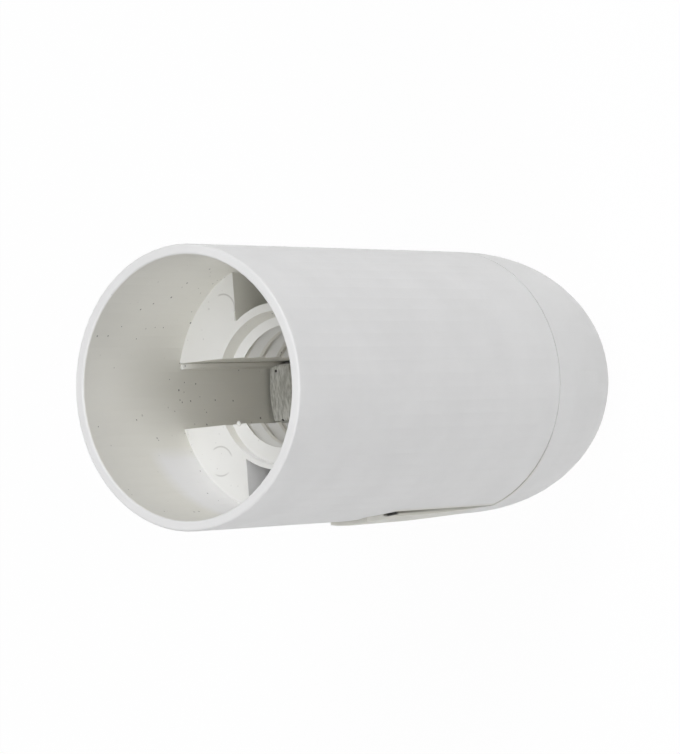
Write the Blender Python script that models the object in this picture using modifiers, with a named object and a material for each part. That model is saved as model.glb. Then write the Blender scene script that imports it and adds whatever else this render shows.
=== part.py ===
# Small Edison screw lamp holder (14 mm screw), smooth thermoplastic casing with a latched domed cap.
# Metres. +Z runs from the cap's flat end to the open mouth, and the origin is the centre of that flat end.
# X runs along the two slots that split the moulded screw thread. The cap's latch tongue is at -Y.
import math

import bmesh
import bpy
from mathutils import Matrix, Vector

# Overall form
MOUTH_RADIUS = 0.0140
CASING_LENGTH = 0.04415
CAP_LENGTH = 0.0162
JOINT_LINE = 0.00015
CLEARANCE = 0.0003

# Casing
CASING_OUTER_DRAFT = 0.008
CASING_INNER_DRAFT = 0.0165
RIM_WALL = 0.00103
RIM_ROUND = 0.00022
SHELF_DEPTH = 0.01465
THREAD_TUBE_RADIUS = 0.00835
THREAD_MEAN_RADIUS = 0.00666
THREAD_DEPTH = 0.0010
THREAD_PITCH = 0.002822
THREAD_START_DEPTH = 0.0016
THREAD_START_ANGLE = 151.0
THREAD_CREST_FLAT = 0.00005
LEAD_IN_RADIUS = 0.0078
LEAD_IN_TAPER = 0.0004
LEAD_IN_LENGTH = 0.00145
LEAD_IN_SLOPE = 0.2
LEAD_IN_OFFSET = 0.00035
SEAT_DEPTH = 0.0307
SLOT_WIDTH = 0.00665
CAVITY_WIDTH = 0.0094
RIB_THICKNESS = 0.0010
SHELF_THICKNESS = 0.0013

# Cap
DOME_END_RADIUS = 0.0083
DOME_EDGE_ROUND = 0.0007
DOME_EDGE_HEIGHT = 0.0004
DOME_EARLY_SHARE = 0.8
DOME_EARLY_POWER = 2.3
DOME_LATE_POWER = 5.0
DOME_STATIONS = 9
DOME_STATION_POWER = 0.8
CAP_WALL = 0.0013
CAP_END_WALL = 0.0018
CORNER_LAND = 0.0001
COLLAR_WALL = 0.0011
TONGUE_WIDTH = 0.0075
TONGUE_TIP_WIDTH = 0.0046
TONGUE_LENGTH = 0.0197
TONGUE_TIP_LENGTH = 0.0030
TONGUE_THICKNESS = 0.0012
TONGUE_PROUD = 0.00045
TONGUE_MIDWAY_PROUD = 0.00036
TONGUE_HOOK_WIDTH = 0.0040
TONGUE_HOOK_LENGTH = 0.0016
TONGUE_HOOK_HEIGHT = 0.0009
TONGUE_HOOK_SETBACK = 0.0012
POCKET_SIDE_GAP = 0.0002
POCKET_WALL = 0.0009
NOSE_WIDTH = 0.0060
NOSE_LENGTH = 0.0009
NOSE_HEIGHT = 0.00045

# Threaded entry, M10 x 1
ENTRY_BORE_RADIUS = 0.00446
ENTRY_SLEEVE_RADIUS = 0.0058
ENTRY_LENGTH = 0.0080
ENTRY_FLANGE_RADIUS = 0.0073
ENTRY_FLANGE_THICKNESS = 0.0011
ENTRY_BOSS_WALL = 0.0012
ENTRY_RECESS = 0.0004
LOCKING_SCREW_RADIUS = 0.0015
LOCKING_SCREW_LENGTH = 0.0045
LOCKING_SCREW_POINT = 0.0006
LOCKING_SCREW_HEIGHT = 0.0040
LOCKING_GUIDE_WALL = 0.0010
LOCKING_GUIDE_STEPS = 6

# Contact block
BLOCK_HEIGHT = 0.0097
BLOCK_KEY_HEIGHT = 0.0016
BLOCK_KEY_LENGTH = 0.0030
BLOCK_KEY_SETBACK = 0.0001
CHAMBER_RADIUS = 0.0070
CHAMBER_STRAIGHT = 0.0012
CHAMBER_CONE = 0.0030
CHAMBER_THROAT_RADIUS = 0.0040
CHAMBER_FLOOR = 0.0024
TERMINAL_POCKET = 0.0013
BARRIER_LENGTH = 0.0070
BARRIER_HEIGHT = 0.0022
BARRIER_THICKNESS = 0.0010
GUARD_THICKNESS = 0.0009
GUARD_SETBACK = 0.0001

# Contacts and terminals
STRIP_THICKNESS = 0.0004
CENTRE_STRIP_WIDTH = 0.0042
CENTRE_RIVET_PLACE = 0.0068
CENTRE_FOOT_OUTER = 0.0012
CENTRE_FOOT_INNER = 0.0013
CENTRE_MIDDLE_HEIGHT = 0.0017
CENTRE_TIP_HEIGHT = 0.0033
CENTRE_END_HEIGHT = 0.0027
CENTRE_TIP_OVERRUN = 0.0016
SIDE_STRIP_WIDTH = 0.0044
SIDE_RIVET_EDGE = 0.0034
SIDE_FOOT_INNER = 0.0015
SIDE_FOOT_OUTER = 0.0019
SIDE_NOSE_RADIUS = 0.0065
SIDE_BEND_HEIGHT = 0.0010
SIDE_STRAIGHT_HEIGHT = 0.0035
SIDE_LEAN_HEIGHT = 0.0067
SIDE_NOSE_HEIGHT = 0.0078
SIDE_TIP_HEIGHT = 0.0096
RIVET_RADIUS = 0.0008
RIVET_HEAD_RADIUS = 0.0015
RIVET_HEAD_HEIGHT = 0.0006
RIVET_HEAD_ROUND = 0.0004
RIVET_HEAD_LAND = 0.00012
TERMINAL_THICKNESS = 0.0010
TERMINAL_ARM_WIDTH = 0.0040
TERMINAL_EDGE = 0.0044
TERMINAL_BOSS_WALL = 0.0006
TERMINAL_BOSS_LENGTH = 0.0018
TERMINAL_SCREW_RADIUS = 0.0015
TERMINAL_SCREW_POINT = 0.00045
TERMINAL_SCREW_GRIP = 0.0052
TERMINAL_HEAD_RADIUS = 0.0025
TERMINAL_HEAD_HEIGHT = 0.0017
TERMINAL_HEAD_CHAMFER = 0.00025
DRIVER_SLOT_WIDTH = 0.0007
DRIVER_SLOT_DEPTH = 0.0008
CLAMP_SIDE = 0.0050
CLAMP_THICKNESS = 0.0010

# Faceting
ROUND_STEPS = 64
SMALL_STEPS = 20
THREAD_STEPS = 48
THREAD_RINGS_PER_TURN = 8
FACET_SHIFT = 1.0 / 3.0
ADDED_SHIFT = 2.0 / 3.0
PAD_SHIFT = 1.0 / 2.0
CUT_MARGIN = 0.0010
WELD_DISTANCE = 0.000002

# Heights that follow from the sizes above
PARTING_Z = CAP_LENGTH + JOINT_LINE
MOUTH_Z = PARTING_Z + CASING_LENGTH
SHELF_Z = MOUTH_Z - SHELF_DEPTH
SEAT_Z = MOUTH_Z - SEAT_DEPTH
BLOCK_TOP = SEAT_Z - CLEARANCE
BLOCK_BASE = BLOCK_TOP - BLOCK_HEIGHT
CHAMBER_FLOOR_Z = BLOCK_BASE + CHAMBER_FLOOR
POCKET_TOP = BLOCK_BASE + TERMINAL_POCKET
TONGUE_TIP_Z = CAP_LENGTH + TONGUE_LENGTH


def casing_radius(z):
    """Outer radius of the drafted casing at height z."""
    return MOUTH_RADIUS - CASING_OUTER_DRAFT * (MOUTH_Z - z)


def bore_radius(z):
    """Inner radius of the drafted skirt at height z."""
    return MOUTH_RADIUS - RIM_WALL - CASING_INNER_DRAFT * (MOUTH_Z - z)


def dome_radius(z):
    """Outer radius of the domed cap, from its rim (z = CAP_LENGTH) down to its flat end (z = 0)."""
    share = max(CAP_LENGTH - z, 0.0) / CAP_LENGTH
    bulge = DOME_EARLY_SHARE * share ** DOME_EARLY_POWER
    bulge += (1.0 - DOME_EARLY_SHARE) * share ** DOME_LATE_POWER
    return casing_radius(PARTING_Z) - (casing_radius(PARTING_Z) - DOME_END_RADIUS) * bulge


TONGUE_INNER_RADIUS = casing_radius(PARTING_Z) - TONGUE_THICKNESS
POCKET_FLOOR_RADIUS = TONGUE_INNER_RADIUS - CLEARANCE
PAD_INNER_RADIUS = POCKET_FLOOR_RADIUS - POCKET_WALL
COLLAR_TOP = BLOCK_BASE - CLEARANCE
COLLAR_RADIUS = bore_radius(PARTING_Z) - CLEARANCE
BLOCK_RADIUS = bore_radius(BLOCK_BASE) - CLEARANCE
TERMINAL_PLACE = BLOCK_RADIUS - TERMINAL_EDGE
SIDE_RIVET_PLACE = BLOCK_RADIUS - SIDE_RIVET_EDGE
SLEEVE_SEAT_RADIUS = ENTRY_SLEEVE_RADIUS + CLEARANCE
BOSS_RADIUS = SLEEVE_SEAT_RADIUS + ENTRY_BOSS_WALL
BOSS_TOP = ENTRY_RECESS + ENTRY_LENGTH - ENTRY_FLANGE_THICKNESS - CLEARANCE
RIVET_HOLE_RADIUS = RIVET_RADIUS + CLEARANCE
SCREW_HOLE_RADIUS = TERMINAL_SCREW_RADIUS + CLEARANCE
TERMINAL_BOSS_RADIUS = SCREW_HOLE_RADIUS + TERMINAL_BOSS_WALL
TERMINAL_TOP = POCKET_TOP - CLEARANCE
TERMINAL_BASE = TERMINAL_TOP - TERMINAL_THICKNESS
CLAMP_TOP = TERMINAL_BASE - CLEARANCE
CLAMP_BASE = CLAMP_TOP - CLAMP_THICKNESS
HEAD_TOP = CLAMP_BASE - CLEARANCE


# Scene and collections

def clear_scene():
    for obj in list(bpy.data.objects):
        bpy.data.objects.remove(obj, do_unlink=True)


def new_collection(name):
    collection = bpy.data.collections.new(name)
    bpy.context.scene.collection.children.link(collection)
    return collection


clear_scene()
PARTS = new_collection("lamp_holder")
CUTTERS = new_collection("cutters")


# Materials

def plastic_or_metal(name, colour, roughness, metallic):
    material = bpy.data.materials.new(name)
    material.use_nodes = True
    shader = material.node_tree.nodes["Principled BSDF"]
    shader.inputs["Base Color"].default_value = (*colour, 1.0)
    shader.inputs["Roughness"].default_value = roughness
    shader.inputs["Metallic"].default_value = metallic
    return material


WHITE_CASING = plastic_or_metal("white_thermoplastic", (0.74, 0.74, 0.73), 0.45, 0.0)
WHITE_CAP = plastic_or_metal("white_cap_thermoplastic", (0.75, 0.75, 0.74), 0.45, 0.0)
WHITE_BLOCK = plastic_or_metal("white_block_thermoplastic", (0.66, 0.66, 0.64), 0.5, 0.0)
BRONZE = plastic_or_metal("phosphor_bronze", (0.72, 0.50, 0.28), 0.3, 1.0)
BRASS = plastic_or_metal("brass", (0.78, 0.62, 0.32), 0.3, 1.0)
ZINC_STEEL = plastic_or_metal("zinc_plated_steel", (0.62, 0.62, 0.60), 0.32, 1.0)


# Shape helpers

def link(obj, collection):
    collection.objects.link(obj)
    if collection is CUTTERS:
        obj.hide_render = True
        obj.display_type = "WIRE"
    return obj


def mesh_object(name, bm, collection):
    mesh = bpy.data.meshes.new(name)
    bm.to_mesh(mesh)
    bm.free()
    return link(bpy.data.objects.new(name, mesh), collection)


def turned(name, profile, collection, steps=ROUND_STEPS, shift=None):
    """Closed (radius, z) outline turned about Z. It runs down its outer side, top to bottom.

    A cutter is turned by a share of a facet, so that its corners miss those of what it cuts.
    """
    if shift is None:
        shift = FACET_SHIFT if collection is CUTTERS else 0.0
    bm = bmesh.new()
    points = [bm.verts.new((radius, 0.0, z)) for radius, z in profile]
    for first, second in zip(points, points[1:]):
        bm.edges.new((first, second))
    if profile[0][0] > 0.0 or profile[-1][0] > 0.0:
        bm.edges.new((points[-1], points[0]))
    obj = mesh_object(name, bm, collection)
    screw = obj.modifiers.new("Turn", "SCREW")
    screw.axis = "Z"
    screw.steps = steps
    screw.render_steps = steps
    screw.use_merge_vertices = True
    screw.merge_threshold = 0.000001
    obj.rotation_euler = (0.0, 0.0, 2.0 * math.pi * shift / steps)
    return obj


def disc(name, radius, low, high, collection, steps=ROUND_STEPS, shift=None):
    return turned(name, [(0.0, high), (radius, high), (radius, low), (0.0, low)], collection, steps, shift)


def ring(name, inner, outer, low, high, collection, steps=ROUND_STEPS, shift=None):
    profile = [(inner, high), (outer, high), (outer, low), (inner, low)]
    return turned(name, profile, collection, steps, shift)


def box(name, low, high, collection):
    bm = bmesh.new()
    size = Vector(high) - Vector(low)
    middle = (Vector(high) + Vector(low)) / 2.0
    matrix = Matrix.Translation(middle) @ Matrix.Diagonal((*size, 1.0))
    bmesh.ops.create_cube(bm, size=1.0, matrix=matrix)
    return mesh_object(name, bm, collection)


def cylinder_x(name, radius, start, end, height, collection, steps=SMALL_STEPS):
    """Cylinder along X, at y = 0 and the given height, with a facet rather than a corner on top."""
    bm = bmesh.new()
    lying = Matrix.Rotation(math.pi / 2.0, 4, "Y") @ Matrix.Rotation(math.pi / steps, 4, "Z")
    matrix = Matrix.Translation(((start + end) / 2.0, 0.0, height)) @ lying
    length = abs(end - start)
    bmesh.ops.create_cone(
        bm, cap_ends=True, segments=steps, radius1=radius, radius2=radius, depth=length, matrix=matrix
    )
    return mesh_object(name, bm, collection)


def outline_solid(name, outline, thickness, matrix, collection):
    """Flat outline filled and extruded by half its thickness each way, then placed by the matrix."""
    curve = bpy.data.curves.new(name, "CURVE")
    curve.dimensions = "2D"
    curve.fill_mode = "BOTH"
    curve.extrude = thickness / 2.0
    spline = curve.splines.new("POLY")
    spline.points.add(len(outline) - 1)
    for point, (x, y) in zip(spline.points, outline):
        point.co = (x, y, 0.0, 1.0)
    spline.use_cyclic_u = True
    guide = bpy.data.objects.new(name + "_outline", curve)
    CUTTERS.objects.link(guide)
    bpy.context.view_layer.update()
    graph = bpy.context.evaluated_depsgraph_get()
    mesh = bpy.data.meshes.new_from_object(guide.evaluated_get(graph))
    bpy.data.objects.remove(guide, do_unlink=True)
    bm = bmesh.new()
    bm.from_mesh(mesh)
    bpy.data.meshes.remove(mesh)
    bmesh.ops.remove_doubles(bm, verts=bm.verts, dist=WELD_DISTANCE)
    bmesh.ops.recalc_face_normals(bm, faces=bm.faces)
    bm.transform(matrix)
    return mesh_object(name, bm, collection)


def arc(centre, radius, start, end, steps):
    """Points of an arc from the start angle to the end angle, in degrees."""
    points = []
    for step in range(steps + 1):
        angle = math.radians(start + (end - start) * step / steps)
        points.append((centre[0] + radius * math.cos(angle), centre[1] + radius * math.sin(angle)))
    return points


def boolean(obj, other, operation):
    modifier = obj.modifiers.new(operation.title() + "_" + other.name, "BOOLEAN")
    modifier.operation = operation
    modifier.object = other
    modifier.solver = "EXACT"


def cut(obj, *cutters):
    for cutter in cutters:
        boolean(obj, cutter, "DIFFERENCE")


def join(obj, *others):
    for other in others:
        boolean(obj, other, "UNION")


def finish(obj, material, sharp_angle=32.0):
    """Applies the modifiers, shades round faces smooth and gives the piece its material."""
    bpy.context.view_layer.update()
    graph = bpy.context.evaluated_depsgraph_get()
    mesh = bpy.data.meshes.new_from_object(obj.evaluated_get(graph))
    bm = bmesh.new()
    bm.from_mesh(mesh)
    bmesh.ops.remove_doubles(bm, verts=bm.verts, dist=WELD_DISTANCE)
    bmesh.ops.dissolve_degenerate(bm, edges=bm.edges, dist=WELD_DISTANCE)
    bm.to_mesh(mesh)
    bm.free()
    obj.modifiers.clear()
    old_mesh = obj.data
    obj.data = mesh
    bpy.data.meshes.remove(old_mesh)
    mesh.name = obj.name
    mesh.materials.clear()
    mesh.materials.append(material)
    mesh.shade_smooth()
    mesh.set_sharp_from_angle(angle=math.radians(sharp_angle))
    return obj


def move_origin(obj, point):
    """Puts the object's origin on its joint and leaves its shape where it is."""
    obj.data.transform(Matrix.Translation(-Vector(point)))
    obj.location = point


# Casing

def thread_core():
    """The shape that the moulded thread leaves open: a right-hand round thread under a wider front bore.

    Each row of corners follows the helix at one radius. The rows meet again in the +X slot.
    """
    lead = math.radians(THREAD_START_ANGLE) / (2.0 * math.pi) * THREAD_PITCH
    first_crest = SHELF_Z - THREAD_START_DEPTH - lead
    turns = math.ceil((first_crest - SEAT_Z) / THREAD_PITCH) + 1
    rows = []
    for index in range(turns * THREAD_RINGS_PER_TURN + 1):
        phase = index / THREAD_RINGS_PER_TURN - turns
        radius = THREAD_MEAN_RADIUS - THREAD_DEPTH / 2.0 * math.cos(2.0 * math.pi * phase)
        rows.append((radius, first_crest + phase * THREAD_PITCH, 0.0))
    throat = THREAD_MEAN_RADIUS - THREAD_DEPTH / 2.0
    narrow = LEAD_IN_RADIUS - LEAD_IN_TAPER
    lead_in_base = first_crest + THREAD_CREST_FLAT + (narrow - throat) * LEAD_IN_SLOPE
    rows.append((throat, first_crest + THREAD_CREST_FLAT, 0.0))
    rows.append((narrow, lead_in_base, -LEAD_IN_OFFSET))
    rows.append((LEAD_IN_RADIUS + LEAD_IN_TAPER, lead_in_base + 2.0 * LEAD_IN_LENGTH, -LEAD_IN_OFFSET))

    bm = bmesh.new()
    loops = []
    for radius, height, shift_y in rows:
        loop = []
        for step in range(THREAD_STEPS):
            share = (step + FACET_SHIFT) / THREAD_STEPS
            angle = 2.0 * math.pi * share
            z = height + THREAD_PITCH * share
            loop.append(bm.verts.new((radius * math.cos(angle), radius * math.sin(angle) + shift_y, z)))
        loops.append(loop)
    for below, above in zip(loops, loops[1:]):
        for step in range(THREAD_STEPS):
            after = (step + 1) % THREAD_STEPS
            bm.faces.new((below[step], below[after], above[after], above[step]))
    for loop, height in ((loops[0], rows[0][1]), (loops[-1], rows[-1][1])):
        middle = bm.verts.new((0.0, 0.0, height + THREAD_PITCH / 2.0))
        for step in range(THREAD_STEPS):
            bm.faces.new((loop[step], loop[(step + 1) % THREAD_STEPS], middle))
    bmesh.ops.recalc_face_normals(bm, faces=bm.faces)
    bmesh.ops.triangulate(bm, faces=bm.faces)
    return mesh_object("thread_core", bm, CUTTERS)


def tongue_outline(grow):
    """Latch tongue seen from outside: straight sides, then slanted corners to a narrower tip."""
    half = TONGUE_WIDTH / 2.0 + grow
    tip_half = TONGUE_TIP_WIDTH / 2.0 + grow
    tip = TONGUE_TIP_Z + grow
    shoulder = TONGUE_TIP_Z - TONGUE_TIP_LENGTH + grow
    return half, tip_half, shoulder, tip


def tongue_prism(name, grow, root, collection):
    """Prism of the tongue's outline, which runs in from -Y to the axis."""
    half, tip_half, shoulder, tip = tongue_outline(grow)
    outline = [(-half, root), (half, root), (half, shoulder)]
    outline += [(tip_half, tip), (-tip_half, tip), (-half, shoulder)]
    reach = MOUTH_RADIUS + TONGUE_PROUD + CUT_MARGIN
    facing_front = Matrix.Translation((0.0, -reach / 2.0, 0.0)) @ Matrix.Rotation(math.pi / 2.0, 4, "X")
    return outline_solid(name, outline, reach, facing_front, collection)


def skirt():
    """The drafted tube with rounded rims."""
    top_out = casing_radius(MOUTH_Z)
    top_in = bore_radius(MOUTH_Z)
    low_out = casing_radius(PARTING_Z)
    low_in = bore_radius(PARTING_Z)
    profile = arc((top_in + RIM_ROUND, MOUTH_Z - RIM_ROUND), RIM_ROUND, 180.0, 90.0, 3)
    profile += arc((top_out - RIM_ROUND, MOUTH_Z - RIM_ROUND), RIM_ROUND, 90.0, 0.0, 3)
    profile += [(low_out, PARTING_Z), (low_in, PARTING_Z)]
    return turned("outer_casing", profile, PARTS)


def thread_tube_blank():
    """Solid plug out into the skirt's wall, from the seat up to the shelf."""
    middle_wall = (casing_radius(SHELF_Z) + bore_radius(SHELF_Z)) / 2.0
    low_wall = (casing_radius(SEAT_Z) + bore_radius(SEAT_Z)) / 2.0
    profile = [(0.0, SHELF_Z), (middle_wall, SHELF_Z), (low_wall, SEAT_Z), (0.0, SEAT_Z)]
    return turned("thread_tube_blank", profile, CUTTERS, shift=ADDED_SHIFT)


def tube_surround(name, low, high):
    """Everything outside the thread tube, out past the skirt."""
    return ring(name, THREAD_TUBE_RADIUS, MOUTH_RADIUS + CUT_MARGIN, low, high, CUTTERS)


def cavity_cutter(side):
    """Open space between the thread tube and the skirt at +Y or -Y."""
    half = CAVITY_WIDTH / 2.0
    name = "cavity_cutter_front" if side < 0 else "cavity_cutter_back"
    ys = sorted((0.0, side * MOUTH_RADIUS))
    cutter = box(name, (-half, ys[0], SEAT_Z - CUT_MARGIN), (half, ys[1], SHELF_Z + CUT_MARGIN), CUTTERS)
    limit = tube_surround(name + "_limit", SEAT_Z - 2.0 * CUT_MARGIN, SHELF_Z + 2.0 * CUT_MARGIN)
    boolean(cutter, limit, "INTERSECT")
    return cutter


def core_cutter(side_x, side_y):
    """Moulding core under one shelf, which keeps the walls round it even."""
    name = "core_cutter_" + ("r" if side_x > 0 else "l") + ("b" if side_y > 0 else "f")
    xs = sorted((side_x * (CAVITY_WIDTH / 2.0 + RIB_THICKNESS), side_x * MOUTH_RADIUS))
    ys = sorted((side_y * (SLOT_WIDTH / 2.0 + RIB_THICKNESS), side_y * MOUTH_RADIUS))
    top = SHELF_Z - SHELF_THICKNESS
    cutter = box(name, (xs[0], ys[0], SEAT_Z - CUT_MARGIN), (xs[1], ys[1], top), CUTTERS)
    limit = tube_surround(name + "_limit", SEAT_Z - 2.0 * CUT_MARGIN, top + CUT_MARGIN)
    boolean(cutter, limit, "INTERSECT")
    return cutter


def latch_pad():
    """The casing's wall steps in round the latch pocket."""
    half, _, _, tip = tongue_outline(POCKET_SIDE_GAP + POCKET_WALL)
    low = PARTING_Z + CLEARANCE
    blank = ring("latch_pad", PAD_INNER_RADIUS, TONGUE_INNER_RADIUS, low, tip, CUTTERS, shift=PAD_SHIFT)
    reach = MOUTH_RADIUS + CUT_MARGIN
    window = box(
        "latch_pad_limit", (-half, -reach, PARTING_Z - CUT_MARGIN), (half, 0.0, tip + CUT_MARGIN), CUTTERS
    )
    boolean(blank, window, "INTERSECT")
    return blank


def latch_pocket():
    """Recess that the tongue lies in."""
    prism = tongue_prism("latch_pocket", POCKET_SIDE_GAP, PARTING_Z - CUT_MARGIN, CUTTERS)
    limit = ring(
        "latch_pocket_limit",
        POCKET_FLOOR_RADIUS,
        MOUTH_RADIUS + 2.0 * CUT_MARGIN,
        PARTING_Z - 2.0 * CUT_MARGIN,
        TONGUE_TIP_Z + CUT_MARGIN,
        CUTTERS,
    )
    boolean(prism, limit, "INTERSECT")
    return prism


def hook_heights():
    top = TONGUE_TIP_Z - TONGUE_HOOK_SETBACK
    return top - TONGUE_HOOK_LENGTH, top


def latch_window():
    """Window in the pocket's floor that the tongue's hook catches in."""
    low, high = hook_heights()
    half = TONGUE_HOOK_WIDTH / 2.0 + CLEARANCE
    return box(
        "latch_window",
        (-half, -TONGUE_INNER_RADIUS, low - CLEARANCE),
        (half, -PAD_INNER_RADIUS + CUT_MARGIN, high + CLEARANCE),
        CUTTERS,
    )


def nose_heights():
    middle = (CAP_LENGTH + COLLAR_TOP) / 2.0
    return middle - NOSE_LENGTH / 2.0, middle + NOSE_LENGTH / 2.0


def nose_groove():
    """Groove inside the casing at +Y for the collar's fixed nose."""
    low, high = nose_heights()
    half = NOSE_WIDTH / 2.0 + CLEARANCE
    depth = COLLAR_RADIUS + NOSE_HEIGHT + CLEARANCE
    blank = ring(
        "nose_groove", COLLAR_RADIUS - COLLAR_WALL, depth, low - CLEARANCE, high + CLEARANCE, CUTTERS
    )
    limit = box(
        "nose_groove_limit",
        (-half, 0.0, low - CUT_MARGIN),
        (half, MOUTH_RADIUS, high + CUT_MARGIN),
        CUTTERS,
    )
    boolean(blank, limit, "INTERSECT")
    return blank


def make_casing():
    casing = skirt()
    tube = thread_tube_blank()
    cut(tube, thread_core())
    reach = MOUTH_RADIUS
    slot = box(
        "slot_cutter",
        (-reach, -SLOT_WIDTH / 2.0, SEAT_Z - CUT_MARGIN),
        (reach, SLOT_WIDTH / 2.0, SHELF_Z + CUT_MARGIN),
        CUTTERS,
    )
    cut(tube, slot)
    for side in (-1.0, 1.0):
        cut(tube, cavity_cutter(side))
    for side_x in (-1.0, 1.0):
        for side_y in (-1.0, 1.0):
            cut(tube, core_cutter(side_x, side_y))
    join(casing, tube, latch_pad())
    cut(casing, latch_pocket(), latch_window(), nose_groove())
    return finish(casing, WHITE_CASING)


# Cap

def dome_stations():
    """Heights from the rim down to the flat end's edge round, closer together where the dome turns."""
    stations = []
    for index in range(DOME_STATIONS + 1):
        share = (index / DOME_STATIONS) ** DOME_STATION_POWER
        stations.append(CAP_LENGTH - share * (CAP_LENGTH - DOME_EDGE_HEIGHT))
    return stations


def dome_profile():
    outside = [(dome_radius(z), z) for z in dome_stations()]
    outside.append((DOME_END_RADIUS - DOME_EDGE_ROUND / 4.0, DOME_EDGE_HEIGHT / 4.0))
    outside.append((DOME_END_RADIUS - DOME_EDGE_ROUND, 0.0))
    step = 0.00001
    inside = []
    for z in dome_stations():
        slope = (dome_radius(z + step) - dome_radius(z - step)) / (2.0 * step)
        length = math.hypot(1.0, slope)
        inner_radius = dome_radius(z) - CAP_WALL / length
        inner_z = z + CAP_WALL * slope / length
        in_wall = BOSS_RADIUS + CORNER_LAND < inner_radius < COLLAR_RADIUS - COLLAR_WALL
        if inner_z > CAP_END_WALL + CAP_WALL / 2.0 and in_wall:
            inside.append((inner_radius, inner_z))
    last_radius, last_z = inside[-1]
    corner_radius = max(last_radius - (last_z - CAP_END_WALL), BOSS_RADIUS + CORNER_LAND)
    inside.append((corner_radius, CAP_END_WALL))
    collar = [(COLLAR_RADIUS - COLLAR_WALL, COLLAR_TOP), (COLLAR_RADIUS, COLLAR_TOP)]
    collar.append((COLLAR_RADIUS, CAP_LENGTH))
    boss = [(BOSS_RADIUS, CAP_END_WALL), (BOSS_RADIUS, BOSS_TOP), (SLEEVE_SEAT_RADIUS, BOSS_TOP)]
    boss.append((SLEEVE_SEAT_RADIUS, 0.0))
    boss.reverse()
    return collar + outside + boss + list(reversed(inside))


def tongue():
    """The latch: a strip of the cap's own wall that runs forward over the casing."""
    tip_radius = casing_radius(TONGUE_TIP_Z) + TONGUE_PROUD
    rise_z = (CAP_LENGTH + TONGUE_TIP_Z) / 2.0
    rise_radius = casing_radius(rise_z) + TONGUE_MIDWAY_PROUD
    root = CAP_LENGTH - CAP_WALL
    blank = turned(
        "tongue",
        [
            (TONGUE_INNER_RADIUS, TONGUE_TIP_Z + CUT_MARGIN),
            (tip_radius, TONGUE_TIP_Z + CUT_MARGIN),
            (tip_radius, TONGUE_TIP_Z),
            (rise_radius, rise_z),
            (dome_radius(CAP_LENGTH), CAP_LENGTH),
            (dome_radius(root), root),
            (TONGUE_INNER_RADIUS, root),
        ],
        CUTTERS,
        shift=0.0,
    )
    boolean(blank, tongue_prism("tongue_prism", 0.0, root - CUT_MARGIN, CUTTERS), "INTERSECT")
    return blank


def tongue_hook():
    """Inward hook near the tongue's tip, with a slanted lead-in towards the mouth."""
    low, high = hook_heights()
    crest = TONGUE_INNER_RADIUS - TONGUE_HOOK_HEIGHT
    root = TONGUE_INNER_RADIUS + TONGUE_THICKNESS / 2.0
    outline = [(-root, low), (-crest, low), (-crest, low + TONGUE_HOOK_LENGTH / 3.0)]
    outline += [(-TONGUE_INNER_RADIUS, high), (-root, high)]
    facing_side = Matrix.Rotation(math.pi / 2.0, 4, "Z") @ Matrix.Rotation(math.pi / 2.0, 4, "X")
    return outline_solid("tongue_hook", outline, TONGUE_HOOK_WIDTH, facing_side, CUTTERS)


def collar_gap():
    """The collar is open where the casing's latch pad steps in."""
    half, _, _, _ = tongue_outline(POCKET_SIDE_GAP + POCKET_WALL + CLEARANCE)
    return box(
        "collar_gap",
        (-half, -COLLAR_RADIUS - CLEARANCE / 2.0, CAP_LENGTH + JOINT_LINE / 2.0),
        (half, 0.0, COLLAR_TOP + CUT_MARGIN),
        CUTTERS,
    )


def collar_nose():
    """Fixed nose on the collar at +Y, which the cap hooks in by before the tongue snaps home."""
    low, high = nose_heights()
    crest = COLLAR_RADIUS + NOSE_HEIGHT
    root = COLLAR_RADIUS - COLLAR_WALL / 2.0
    profile = [(root, high), (COLLAR_RADIUS, high), (crest, (low + high) / 2.0), (crest, low), (root, low)]
    blank = turned("collar_nose", profile, CUTTERS, shift=ADDED_SHIFT)
    limit = box(
        "collar_nose_limit",
        (-NOSE_WIDTH / 2.0, 0.0, low - CUT_MARGIN),
        (NOSE_WIDTH / 2.0, MOUTH_RADIUS, high + CUT_MARGIN),
        CUTTERS,
    )
    boolean(blank, limit, "INTERSECT")
    return blank


def locking_guide():
    """Web from the entry's boss out to the dome, which guides the locking screw at -X."""
    half = LOCKING_SCREW_RADIUS + CLEARANCE + LOCKING_GUIDE_WALL
    root = SLEEVE_SEAT_RADIUS + ENTRY_BOSS_WALL / 2.0
    profile = [(root, BOSS_TOP)]
    for step in range(LOCKING_GUIDE_STEPS + 1):
        z = BOSS_TOP + (CAP_END_WALL / 2.0 - BOSS_TOP) * step / LOCKING_GUIDE_STEPS
        profile.append((dome_radius(z) - CAP_WALL / 2.0, z))
    profile.append((root, CAP_END_WALL / 2.0))
    blank = turned("locking_guide", profile, CUTTERS, shift=ADDED_SHIFT)
    limit = box("locking_guide_limit", (-MOUTH_RADIUS, -half, 0.0), (0.0, half, CAP_LENGTH), CUTTERS)
    boolean(blank, limit, "INTERSECT")
    return blank


def make_cap():
    cap = turned("end_cap", dome_profile(), PARTS)
    cut(cap, collar_gap())
    join(cap, tongue(), tongue_hook(), collar_nose(), locking_guide())
    hole_radius = LOCKING_SCREW_RADIUS + CLEARANCE
    hole_end = -ENTRY_BORE_RADIUS
    cut(cap, cylinder_x("locking_hole", hole_radius, -MOUTH_RADIUS, hole_end, LOCKING_SCREW_HEIGHT, CUTTERS))
    return finish(cap, WHITE_CAP)


# Threaded entry and its locking screw

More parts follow.
